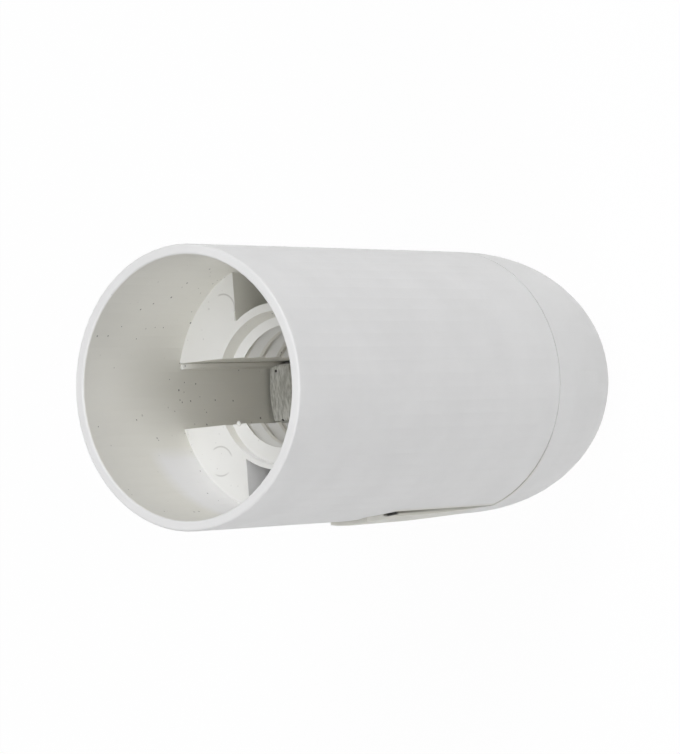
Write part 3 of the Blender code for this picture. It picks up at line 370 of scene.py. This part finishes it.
def casingMarks(tree, where, colour):
    look = casingMarkLook
    foot = jointLook["height"]
    front = limit(where["y"], jointLook["frontSide"])
    halo = share(tree, [limit(where["z"], look["haloRise"], foot, 0.0, look["haloAmount"]), front])
    besidePocket = share(tree, [
        limit(where["halfWidth"], look["pocketHaloWidth"], jointLook["pocketHalfWidth"], 0.0,
              look["pocketHaloAmount"]),
        limit(where["y"], look["pocketHaloSide"]),
        limit(where["z"], look["pocketHaloEnd"], jointLook["slantStart"])])
    # painted shade: the parting line and the walls of the tongue's pocket are darkened where shade
    # falls in the gaps, tinted with some dirt
    joint = share(tree, [
        limit(where["z"], look["jointRise"], foot, 0.0, look["jointAmount"]), front])
    pocket = share(tree, [
        limit(where["depth"], look["pocketDepth"], 0.0, 0.0, look["pocketAmount"]),
        limit(where["y"], look["pocketSide"]),
        limit(where["z"], look["pocketEnd"], jointLook["pocketTop"]),
        limit(where["z"], jointLook["upperEnd"], 0.0, look["pocketLowAmount"])])
    inside = [limit(where["radius"], look["wallRadius"]), limit(where["rise"], look["wallRise"])]
    innerWall = share(tree, inside + [limit(where["z"], look["wallStart"], foot)])
    # painted light: a paler patch on the inner wall above the lower shelf, where light falls in
    # through the mouth
    litWallPatch = share(tree, inside + [limit(where["y"], look["litPatchSide"]),
                                      limit(where["z"], look["litPatchEnd"])])
    for amount, code in ((innerWall, look["wallTone"]), (litWallPatch, look["litPatchTone"]),
                         (halo, jointLook["halo"]), (besidePocket, jointLook["halo"]),
                         (joint, jointLook["jointShadeAndDirt"]), (pocket, jointLook["jointShadeAndDirt"])):
        colour = layerColour(tree, colour, amount, code)
    # shallow rings left by the mould's ejector pins on the shelves: the rings are not modelled, and
    # a dark line of painted shade at their step stands in for them
    for mark in look["ejectors"]:
        offset = addNode(tree, "ShaderNodeVectorMath", {"operation": "SUBTRACT"},
                         {1: mark["centre"]}, {0: where["mm"]})
        reach = addNode(tree, "ShaderNodeVectorMath", {"operation": "LENGTH"}, None,
                        {0: offset.outputs["Vector"]})
        away = addNode(tree, "ShaderNodeMath", {"operation": "SUBTRACT"}, {1: mark["radius"]},
                       {0: reach.outputs["Value"]})
        line = addNode(tree, "ShaderNodeMath", {"operation": "ABSOLUTE"}, None,
                       {0: away.outputs["Value"]})
        aim = addNode(tree, "ShaderNodeVectorMath", {"operation": "DOT_PRODUCT"},
                      {1: mark["towards"]}, {0: offset.outputs["Vector"]})
        ring = share(tree, [
            limit(line.outputs["Value"], look["ejectorLine"], 0.0, 0.0, look["ejectorAmount"]),
            limit(aim.outputs["Value"], look["ejectorEnds"], mark["least"] * mark["radius"]),
            limit(where["z"], look["ejectorHeight"])])
        colour = layerColour(tree, colour, ring, look["ejectorShadeTone"])
    return colour


def capMarks(tree, where, colour):
    look = capMarkLook
    foot = jointLook["height"]
    front = limit(where["y"], jointLook["frontSide"])
    acrossTongue = limit(where["slant"], look["sideSlant"])
    halo = share(tree, [
        limit(where["z"], look["haloRise"], foot, 0.0, look["haloAmount"]),
        limit(where["halfWidth"], look["haloWidth"], jointLook["pocketHalfWidth"]), front])
    # painted shade: the cap's shoulder in the parting line and the tongue's side walls are darkened
    # where shade falls in the gaps, tinted with some dirt
    shoulder = share(tree, [
        limit(where["z"], look["shoulderRise"], foot, 0.0, look["shoulderAmount"]),
        limit(where["depth"], look["shoulderDepth"]),
        limit(where["radius"], look["shoulderRadius"]), front])
    side = share(tree, [
        acrossTongue, limit(where["z"], look["sideStart"], foot),
        limit(where["z"], look["sideEnd"], jointLook["slantStart"]),
        limit(where["z"], jointLook["upperEnd"], 0.0, look["sideLowAmount"]),
        limit(where["depth"], look["sideDepth"], 0.0, 0.0, look["sideAmount"])])
    tongue = share(tree, [limit(where["y"], look["tongueSide"]),
                          limit(where["z"], look["tongueStart"], foot)])
    # painted shadow: a near-black patch in the tongue's corner, where the opening lies in deep
    # shade
    corner = share(tree, [acrossTongue, limit(where["depth"], look["cornerDepth"])])
    cornerBall = ballMark(tree, where, look["cornerPlace"], look["cornerReach"])
    both = addNode(tree, "ShaderNodeMath", {"operation": "MULTIPLY"}, None,
                   {0: corner, 1: cornerBall})
    for amount, code in ((tongue, look["tongueTone"]), (halo, jointLook["halo"]),
                         (shoulder, jointLook["jointShadeAndDirt"]), (side, jointLook["jointShadeAndDirt"]),
                         (both.outputs["Value"], jointLook["deepShadeAndDirt"])):
        colour = layerColour(tree, colour, amount, code)
    return colour


def blockMarks(tree, where, colour):
    for centre, reach in keyDots:
        colour = layerColour(tree, colour, ballMark(tree, where, centre, reach), jointLook["deepShadeAndDirt"])
    return colour


def dustShare(tree, where, look):
    cells = addNode(tree, "ShaderNodeTexVoronoi", None,
                    {"Scale": 1.0 / (look["speckMm"] * mm), "Randomness": 1.0},
                    {"Vector": where["vector"]})
    chosen = addNode(tree, "ShaderNodeSeparateColor", None, None, {"Color": cells.outputs["Color"]})
    deep = share(tree, [
        limit(where["radius"], dustLook["deepRadius"], 0.0, 0.0, dustLook["deepExtra"]),
        limit(where["z"], dustLook["deepHeight"])])
    pick = addNode(tree, "ShaderNodeMath", {"operation": "ADD"}, None,
                   {0: chosen.outputs["Red"], 1: deep})
    size = share(tree, [limit(chosen.outputs["Green"], (0.0, 1.0), 0.0, *dustLook["sizes"])])
    near = addNode(tree, "ShaderNodeMath", {"operation": "MULTIPLY"}, None,
                   {0: cells.outputs["Distance"], 1: size})
    return share(tree, [
        limit(near.outputs["Value"], look["speckReach"], 0.0, 0.0, look["speckAmount"]),
        limit(pick.outputs["Value"], look["speckShare"]),
        limit(where["radius"], dustLook["insideRadius"]),
        limit(where["rise"], dustLook["flatRise"], 0.0, dustLook["flatAmount"])])


def mouldedPlastic(look, addMarks):
    material, tree = startMaterial(look["name"])
    where = readPlace(tree)
    cloud = addNode(tree, "ShaderNodeTexNoise", None,
                    {"Scale": 1.0 / (look["cloudMm"] * mm), "Detail": surfaceLook["cloudDetail"]},
                    {"Vector": where["vector"]})
    peel = addNode(tree, "ShaderNodeTexNoise", None,
                   {"Scale": 1.0 / (look["peelMm"] * mm), "Detail": surfaceLook["grainDetail"]},
                   {"Vector": where["vector"]})
    drawn = addNode(tree, "ShaderNodeVectorMath", {"operation": "MULTIPLY"},
                    {1: look["grainStretch"]}, {0: where["vector"]})
    grain = addNode(tree, "ShaderNodeTexNoise", None,
                    {"Scale": 1.0 / (look["grainMm"] * mm), "Detail": surfaceLook["grainDetail"]},
                    {"Vector": drawn.outputs["Vector"]})

    # colour: two close whites clouded together, or drawn out in lines, then marks, then dust
    lined = look["grainStretch"][1] < 1.0
    tone = grain if lined else cloud
    toneShare = share(tree, [limit(tone.outputs["Fac"], surfaceLook["toneShare"])])
    colour = layerColour(tree, None, toneShare, look["shade"])
    colour.node.inputs[6].default_value = hexToLinear(look["light"])
    colour = addMarks(tree, where, colour)
    colour = layerColour(tree, colour, dustShare(tree, where, look), look["speck"])

    # surface: a fine even grain over a faint orange peel
    sheen = share(tree, [limit(peel.outputs["Fac"], surfaceLook["sheenShare"], 0.0,
                               *look["roughness"])])
    height = addNode(tree, "ShaderNodeMath", {"operation": "ADD"}, None,
                     {0: grain.outputs["Fac"], 1: peel.outputs["Fac"]})
    bump = addNode(tree, "ShaderNodeBump", None,
                   {"Strength": surfaceLook["bumpStrength"], "Distance": look["bumpMm"] * mm},
                   {"Height": height.outputs["Value"]})
    shader = addNode(tree, "ShaderNodeBsdfPrincipled", None, {"IOR": look["ior"]},
                     {"Base Color": colour, "Roughness": sheen, "Normal": bump.outputs["Normal"]})
    addNode(tree, "ShaderNodeOutputMaterial", None, None, {"Surface": shader.outputs["BSDF"]})
    return material


casingPlastic = mouldedPlastic(plasticLook["casing"], casingMarks)
capPlastic = mouldedPlastic(plasticLook["cap"], capMarks)
blockPlastic = mouldedPlastic(plasticLook["block"], blockMarks)
keyPlastic = mouldedPlastic(plasticLook["key"], blockMarks)
dress(["outer_casing"], casingPlastic)
dress(["end_cap"], capPlastic)
dress(["contact_block"], blockPlastic)
print("stage 3: plastics dressed")


# small moulded pieces: flash at the slot, the rib in its corner and the face of the block's key

flashLook = {
    "slot_nib": {"place": (-6.0, -3.26, 44.93), "size": (0.24, 0.26, 0.18), "turn": 20.0},
    "cavity_lip": {"place": (-4.79, 7.40, 45.88), "size": (0.09, 0.48, 0.15), "turn": -8.0},
    "shelf_lip": {"place": (-11.95, -3.72, 45.87), "size": (0.12, 0.40, 0.10), "turn": 16.0},
}

tornSkin = {"depth": 0.12, "waves": (5.0, 3.0, 4.0)}  # as shares of a lump's own size

ribLook = {
    # X and Z of its corners
    "outline": [(-12.5, 29.95), (-11.3, 29.95), (-11.3, 43.4), (-11.75, 44.9), (-12.25, 45.70),
                (-12.5, 45.70)],
    "low": 2.72,
    "high": 3.38,
    "edge": 0.12,
}

keyLook = {
    "radius": 12.12,
    "halfWidth": 2.93,
    "inner": -9.2,
    "base": 31.0,
    "top": 31.75,
    "edge": 0.14,
    "steps": 12,
}

edgeLook = {
    "roundSteps": 3,
    "roundedOver": math.radians(20.0),
    "plasticSharp": math.radians(50.0),
    "metalSharp": math.radians(38.0),
}


def placePiece(obj, material):
    obj.data.materials.append(material)
    obj.data.shade_smooth()
    obj.data.set_sharp_from_angle(angle=edgeLook["plasticSharp"])
    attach(obj, "holder")


def flashLump(name, look):
    place = Vector(look["place"]) * mm
    turn = Matrix.Rotation(math.radians(look["turn"]), 4, "Z")
    first, second, third = tornSkin["waves"]

    def lump(bm):
        bmesh.ops.create_icosphere(bm, subdivisions=3, radius=1.0)
        for vert in bm.verts:
            bend = math.sin(first * vert.co.x + second * vert.co.y) * math.cos(third * vert.co.z)
            wave = 1.0 + tornSkin["depth"] * bend
            sized = Vector([part * wave * size * mm for part, size in zip(vert.co, look["size"])])
            vert.co = turn @ sized + place

    placePiece(newMesh(name, lump), casingPlastic)


def raised(name, outline, low, high, axis, edge, material):
    # a flat outline given thickness along one axis, with its edges rounded
    def slab(bm):
        loops = []
        for level in (low, high):
            corners = []
            for across, up in outline:
                point = (across, level, up) if axis == "Y" else (across, up, level)
                corners.append(bm.verts.new(Vector(point) * mm))
            loops.append(corners)
        bottom, top = loops
        for index in range(len(outline)):
            after = (index + 1) % len(outline)
            bm.faces.new((bottom[index], bottom[after], top[after], top[index]))
        bm.faces.new(bottom)
        bm.faces.new(top)
        bmesh.ops.recalc_face_normals(bm, faces=bm.faces)
        sharp = [line for line in bm.edges if line.calc_face_angle(0.0) > edgeLook["roundedOver"]]
        bmesh.ops.bevel(bm, geom=sharp, offset=edge * mm, segments=edgeLook["roundSteps"],
                        affect="EDGES", clamp_overlap=True)

    placePiece(newMesh(name, slab), material)


def keyOutline(look):
    reach = math.asin(look["halfWidth"] / look["radius"])
    outline = []
    for step in range(look["steps"] + 1):
        angle = math.pi - reach + 2.0 * reach * step / look["steps"]
        outline.append((look["radius"] * math.cos(angle), look["radius"] * math.sin(angle)))
    return outline + [(look["inner"], -look["halfWidth"]), (look["inner"], look["halfWidth"])]


for flashName, lumpLook in flashLook.items():
    flashLump(flashName, lumpLook)
raised("slot_rib", ribLook["outline"], ribLook["low"], ribLook["high"], "Y", ribLook["edge"],
       casingPlastic)
raised("key_face", keyOutline(keyLook), keyLook["base"], keyLook["top"], "Z", keyLook["edge"],
       keyPlastic)
print("stage 4: small moulded pieces made")


# metals

metalLook = {
    "bronze": {
        # hard rolled strip: warm, with fine rolling lines along its length
        "name": "rolled_phosphor_bronze",
        "light": "D9A870",
        "shade": "BF8A52",
        "roughness": (0.22, 0.36),
        "grainMm": 0.10,  # rolling lines are nearer 0.02: drawn coarser, so that they show
        "stretch": (0.06, 1.0, 0.06),
    },
    "brass": {
        # blanked from sheet: yellow, slightly tarnished in patches
        "name": "stamped_brass",
        "light": "E3C477",
        "shade": "C9A658",
        "roughness": (0.25, 0.42),
        "grainMm": 0.25,
        "stretch": (1.0, 1.0, 1.0),
    },
    "zinc": {
        # bright zinc with a faint blue passivation, mottled
        "name": "zinc_plated_steel",
        "light": "C9CCD0",
        "shade": "B2B5B8",
        "roughness": (0.26, 0.40),
        "grainMm": 0.30,
        "stretch": (1.0, 1.0, 1.0),
    },
}

metalSurface = {
    "detail": 4.0,
    "sheenShare": (0.3, 0.7),
    "bumpStrength": 0.25,
    "bumpMm": 0.01,
}


def plainMetal(look):
    material, tree = startMaterial(look["name"])
    place = addNode(tree, "ShaderNodeTexCoord").outputs["Object"]
    stretched = addNode(tree, "ShaderNodeMapping", None, {"Scale": look["stretch"]},
                        {"Vector": place})
    grain = addNode(tree, "ShaderNodeTexNoise", None,
                    {"Scale": 1.0 / (look["grainMm"] * mm), "Detail": metalSurface["detail"]},
                    {"Vector": stretched.outputs["Vector"]})
    tones = layerColour(tree, None, grain.outputs["Fac"], look["shade"])
    tones.node.inputs[6].default_value = hexToLinear(look["light"])
    sheen = share(tree, [limit(grain.outputs["Fac"], metalSurface["sheenShare"], 0.0,
                               *look["roughness"])])
    bump = addNode(tree, "ShaderNodeBump", None,
                   {"Strength": metalSurface["bumpStrength"],
                    "Distance": metalSurface["bumpMm"] * mm},
                   {"Height": grain.outputs["Fac"]})
    shader = addNode(tree, "ShaderNodeBsdfPrincipled", None, {"Metallic": 1.0},
                     {"Base Color": tones, "Roughness": sheen, "Normal": bump.outputs["Normal"]})
    addNode(tree, "ShaderNodeOutputMaterial", None, None, {"Surface": shader.outputs["BSDF"]})
    return material


bronze = plainMetal(metalLook["bronze"])
brass = plainMetal(metalLook["brass"])
zinc = plainMetal(metalLook["zinc"])
dress(["centre_contact", "side_contact"], bronze)
dress(["centre_rivet", "side_rivet", "centre_terminal", "side_terminal"], brass)
dress(["entry_sleeve", "locking_screw", "centre_clamp", "side_clamp", "centre_terminal_screw",
       "side_terminal_screw"], zinc)  # the threaded pieces below cover four of these
print("stage 5: metals dressed")


# threads: the entry sleeve and the three screws, in place of their plain solids

sleeveLook = {
    "base": 0.4,
    "top": 8.4,
    "flangeBase": 7.3,
    "sleeveRadius": 5.8,
    "flangeRadius": 7.3,
    "crest": 4.46,  # M10 x 1 nut thread
    "root": 5.0,
    "pitch": 1.0,
    "chamfer": 0.6,
    "steps": 72,
    "rowsPerPitch": 12,
    "holeRadius": 1.65,
    "holeHeight": 4.0,
    "holeLength": 10.0,
    "holeTurn": 0.06,
    "holeSteps": 32,
}

screwLook = {
    "crest": 1.5,  # M3
    "root": 1.19,
    "pitch": 0.5,
    "point": 0.45,
    "headRadius": 2.5,
    "headHeight": 1.7,
    "headChamfer": 0.25,
    "slotWidth": 0.7,
    "slotDepth": 0.8,
    "grubCutReach": 2.0,  # how far the headless screw's slot is cut, either way from its axis
    "steps": 40,
    "rowsPerPitch": 8,
}

threadForm = {
    "slope": 2.6,
    "flat": 0.15,
    "start": 0.37,  # in steps, so that no facet's edge lies in the plane of a cut
    "weld": 0.002,
    "cutMargin": 1.0,
}


def threadRadius(look, height, turn):
    # triangular, with small flats; right-handed, because the crest climbs with the turn
    phase = (height / look["pitch"] - turn) % 1.0
    rise = threadForm["slope"] * abs(phase - 0.5) - threadForm["flat"]
    return look["root"] + (look["crest"] - look["root"]) * min(1.0, max(0.0, rise))


def threadRows(look, low, high):
    count = round((high - low) / look["pitch"] * look["rowsPerPitch"])
    return [low + (high - low) * step / count for step in range(count + 1)]


def plainRow(height, radius):
    return height, lambda turn: radius


def sweptRound(bm, rows, steps, closed, matrix):
    # each row gives its height and its radius at any turn; closed joins the last row to the first
    loops = []
    for height, radiusAt in rows:
        loop = []
        for step in range(steps):
            turn = (step + threadForm["start"]) / steps
            radius = radiusAt(turn)
            angle = 2.0 * math.pi * turn
            point = Vector((radius * math.cos(angle), radius * math.sin(angle), height))
            loop.append(bm.verts.new(matrix @ (point * mm)))
        loops.append(loop)
    pairs = list(zip(loops, loops[1:])) + ([(loops[-1], loops[0])] if closed else [])
    for below, above in pairs:
        for step in range(steps):
            after = (step + 1) % steps
            bm.faces.new((below[step], below[after], above[after], above[step]))
    if not closed:
        bm.faces.new(loops[0])
        bm.faces.new(loops[-1])
    bmesh.ops.triangulate(bm, faces=bm.faces)  # flat faces only, so that a cut stays clean


def cutAway(piece, cutter):
    modifier = piece.modifiers.new("cut", "BOOLEAN")
    modifier.solver = "EXACT"
    modifier.object = cutter
    graph = bpy.context.evaluated_depsgraph_get()
    shaped = bpy.data.meshes.new_from_object(piece.evaluated_get(graph))
    piece.modifiers.clear()
    # the cut leaves points a micron or two apart along its edge: they are welded
    gap = threadForm["weld"] * mm
    bm = bmesh.new()
    bm.from_mesh(shaped)
    bmesh.ops.remove_doubles(bm, verts=bm.verts, dist=gap)
    bmesh.ops.dissolve_degenerate(bm, edges=bm.edges, dist=gap)
    bm.to_mesh(shaped)
    bm.free()
    piece.data = shaped
    bpy.data.objects.remove(cutter)


def cutSlot(piece, node, low, high, matrix):
    def cutterBox(bm):
        bmesh.ops.create_cube(bm, size=1.0)
        middle = (Vector(low) + Vector(high)) / 2.0
        size = Vector(high) - Vector(low)
        for vert in bm.verts:
            place = [part * side + centre for part, side, centre in zip(vert.co, size, middle)]
            vert.co = matrix @ (Vector(place) * mm)

    cutAway(piece, newMesh(node + "_slot", cutterBox))


def finishMetal(piece, node, body):
    piece.data.materials.clear()
    piece.data.materials.append(zinc)
    piece.data.shade_smooth()
    piece.data.set_sharp_from_angle(angle=edgeLook["metalSharp"])
    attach(piece, body)
    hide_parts(node)


def threadedSleeve(look):
    base, top = look["base"], look["top"]

    def section(bm):
        rows = []
        for height in threadRows(look, base, top):
            cone = look["crest"] + look["chamfer"] - min(height - base, top - height)
            rows.append((height, lambda turn, height=height, cone=cone:
                         max(threadRadius(look, height, turn), cone)))
        rows += [plainRow(top, look["flangeRadius"]),
                 plainRow(look["flangeBase"], look["flangeRadius"]),
                 plainRow(look["flangeBase"], look["sleeveRadius"]),
                 plainRow(base, look["sleeveRadius"])]
        sweptRound(bm, rows, look["steps"], True, Matrix.Identity(4))

    def hole(bm):
        radius = look["holeRadius"] * mm
        length = look["holeLength"] * mm
        bmesh.ops.create_cone(bm, cap_ends=True, segments=look["holeSteps"], radius1=radius,
                              radius2=radius, depth=length)
        lie = Matrix.Translation((-length / 2.0, 0.0, look["holeHeight"] * mm))
        lie = lie @ Matrix.Rotation(math.pi / 2.0, 4, "Y")
        lie = lie @ Matrix.Rotation(look["holeTurn"], 4, "Z")
        bmesh.ops.transform(bm, matrix=lie, verts=bm.verts)

    sleeve = newMesh("threaded_sleeve", section)
    cutAway(sleeve, newMesh("sleeve_hole", hole))
    finishMetal(sleeve, "entry_sleeve", "holder")


def threadedShank(look, low, high):
    rows = []
    for height in threadRows(look, low, high):
        cone = look["crest"] - look["point"] + (high - height)
        rows.append((height, lambda turn, height=height, cone=cone:
                     min(threadRadius(look, height, turn), cone)))
    return rows


def terminalScrew(node, look):
    # the head is at the low end of the node's box, the point at the high end
    low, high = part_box(node)
    matrix = Matrix.Translation(((low[0] + high[0]) / 2.0, (low[1] + high[1]) / 2.0, low[2]))
    length = (high[2] - low[2]) / mm
    head = look["headRadius"]

    def section(bm):
        rows = [plainRow(0.0, head - look["headChamfer"]), plainRow(look["headChamfer"], head),
                plainRow(look["headHeight"], head)]
        rows += threadedShank(look, look["headHeight"], length)
        sweptRound(bm, rows, look["steps"], False, matrix)

    screw = newMesh(node + "_threaded", section)
    half = look["slotWidth"] / 2.0
    margin = threadForm["cutMargin"]
    cutSlot(screw, node, (-head - margin, -half, -margin), (head + margin, half, look["slotDepth"]),
            matrix)
    finishMetal(screw, node, node)


def grubScrew(node, look):
    # it lies along X, with its slot at the low end of the node's box
    low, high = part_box(node)
    middle = ((low[1] + high[1]) / 2.0, (low[2] + high[2]) / 2.0)
    matrix = Matrix.Translation((low[0], *middle)) @ Matrix.Rotation(math.pi / 2.0, 4, "Y")
    length = (high[0] - low[0]) / mm

    def section(bm):
        sweptRound(bm, threadedShank(look, 0.0, length), look["steps"], False, matrix)

    screw = newMesh(node + "_threaded", section)
    half = look["slotWidth"] / 2.0
    reach = look["grubCutReach"]
    cutSlot(screw, node, (-half, -reach, -threadForm["cutMargin"]),
            (half, reach, look["slotDepth"]), matrix)
    finishMetal(screw, node, node)


threadedSleeve(sleeveLook)
terminalScrew("centre_terminal_screw", screwLook)
terminalScrew("side_terminal_screw", screwLook)
grubScrew("locking_screw", screwLook)
print("stage 6: threads cut")


# floor, world and lamps, in metres

lightLook = {
    "floorSize": 6.0,
    "floorDrop": 0.00002,  # clear of the cap's flat end, so that the two faces don't flicker
    "floorWhite": "F4F4F4",
    "floorGlow": 0.97,  # how far the floor seen directly is paper white; the rest takes shadow
    "worldLevel": 0.0,
    "lampSize": 0.35,
    "lampColour": "F9F9FF",
    "lampAim": (0.0, 0.0, 0.035),
    "lamps": {
        "upperMouthLamp": {"place": (0.15, 0.30, 0.80), "power": 1.87},
        "lowerMouthLamp": {"place": (0.15, -0.30, 0.80), "power": 1.42},
        "frontLamp": {"place": (0.50, 0.0, 0.68), "power": 1.20},
        "upperLamp": {"place": (0.30, 0.55, 0.50), "power": 2.39},
        "backLamp": {"place": (-0.70, 0.0, 0.12), "power": 1.4},
        "lowerLamp": {"place": (0.25, -0.60, 0.45), "power": 1.64},
    },
}


def seenDirectly(tree):
    ways = addNode(tree, "ShaderNodeLightPath")
    first = addNode(tree, "ShaderNodeMath", {"operation": "MAXIMUM"}, None,
                    {0: ways.outputs["Is Camera Ray"], 1: ways.outputs["Is Glossy Ray"]})
    both = addNode(tree, "ShaderNodeMath", {"operation": "MAXIMUM"}, None,
                   {0: first.outputs["Value"], 1: ways.outputs["Is Transmission Ray"]})
    return both.outputs["Value"]


def makeFloor(look):
    def plate(bm):
        bmesh.ops.create_grid(bm, x_segments=1, y_segments=1, size=look["floorSize"] / 2.0)

    floor = newMesh("paleFloor", plate)
    floor.location.z = -look["floorDrop"]
    material, tree = startMaterial("pale_paper")
    glowShare = addNode(tree, "ShaderNodeMath", {"operation": "MULTIPLY"}, {1: look["floorGlow"]},
                        {0: seenDirectly(tree)})
    paper = addNode(tree, "ShaderNodeBsdfDiffuse", None, {"Color": hexToLinear(look["floorWhite"])})
    glow = addNode(tree, "ShaderNodeEmission", None,
                   {"Color": (1.0, 1.0, 1.0, 1.0), "Strength": 1.0})
    mixed = addNode(tree, "ShaderNodeMixShader", None, None,
                    {0: glowShare.outputs["Value"], 1: paper.outputs["BSDF"],
                     2: glow.outputs["Emission"]})
    addNode(tree, "ShaderNodeOutputMaterial", None, None, {"Surface": mixed.outputs["Shader"]})
    floor.data.materials.append(material)


def makeLamp(name, lampLook, look):
    data = bpy.data.lights.new(name, "AREA")
    data.shape = "DISK"
    data.size = look["lampSize"]
    data.energy = lampLook["power"]
    data.color = hexToLinear(look["lampColour"])[:3]
    lamp = bpy.data.objects.new(name, data)
    lamp.location = lampLook["place"]
    aim = Vector(look["lampAim"]) - Vector(lampLook["place"])
    lamp.rotation_euler = aim.to_track_quat("-Z", "Y").to_euler()
    bpy.context.scene.collection.objects.link(lamp)


def makeWorld(look):
    world = bpy.data.worlds.new("softStudio")
    bpy.context.scene.world = world
    world.use_nodes = True
    tree = world.node_tree
    tree.nodes.clear()
    level = addNode(tree, "ShaderNodeMapRange", None,
                    {"To Min": look["worldLevel"], "To Max": 1.0}, {"Value": seenDirectly(tree)})
    sky = addNode(tree, "ShaderNodeBackground", None, {"Color": (1.0, 1.0, 1.0, 1.0)},
                  {"Strength": level.outputs["Result"]})
    addNode(tree, "ShaderNodeOutputWorld", None, None, {"Surface": sky.outputs["Background"]})


makeFloor(lightLook)
makeWorld(lightLook)
for lampName, oneLamp in lightLook["lamps"].items():
    makeLamp(lampName, oneLamp, lightLook)
bpy.context.scene.view_settings.view_transform = "Standard"
print("stage 7: floor, world and lamps made")


# the view layer is updated

bpy.context.view_layer.update()
